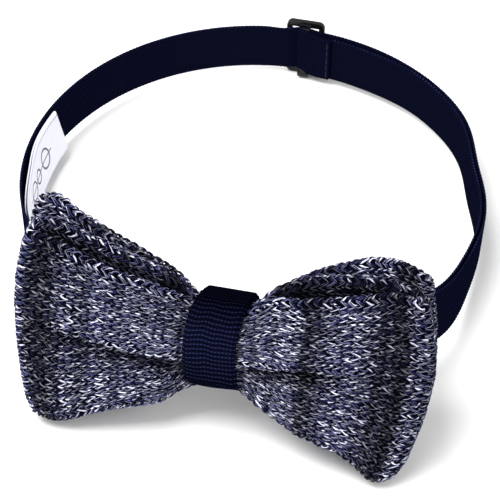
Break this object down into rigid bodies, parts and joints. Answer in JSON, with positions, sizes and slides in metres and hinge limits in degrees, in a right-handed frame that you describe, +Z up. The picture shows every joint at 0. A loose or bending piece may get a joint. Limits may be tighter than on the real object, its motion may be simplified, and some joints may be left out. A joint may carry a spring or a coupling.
{
  "type": "bow tie",
  "caption": "Pre-tied knitted bow tie: stacked knit loops pinched by a woven knot band, on an adjustable neck strap with a slider.",
  "frame": {"origin": "centre of the bounding box at the level it rests on", "axes": "+X along the bow to the viewer's right, +Y backwards from the bow to the back of the neck loop, +Z up"},
  "size_m": [0.1658, 0.1935, 0.0586],
  "materials": {
    "knit": "marled navy, black and white stockinette knit",
    "woven_ribbon": "dark navy woven ribbon with a fine dotted weave",
    "thread": "dark navy sewing thread",
    "label_thread": "white sewing thread",
    "satin": "white satin label tape",
    "slider_plastic": "black moulded plastic"
  },
  "bodies": {
    "tie": {"front_bow": "knit", "back_bow": "knit", "pinch_thread": "thread", "knot_wrap": "woven_ribbon", "knot_seam_stitches": "thread", "neck_strap": "woven_ribbon", "strap_return_run": "woven_ribbon", "strap_anchor_stitches": "thread", "label": "satin", "label_stitches": "label_thread"},
    "adjuster": {"slider_frame": "slider_plastic", "strap_end_fold": "woven_ribbon", "end_fold_stitches": "thread"}
  },
  "joints": [
    {"name": "slider_travel", "type": "hinge", "parent": "tie", "child": "adjuster", "pos_m": [0, 0.01155, 0], "axis": [0, 0, 1], "range_deg": [-45, 60], "deforming": ["strap_return_run"]}
  ]
}
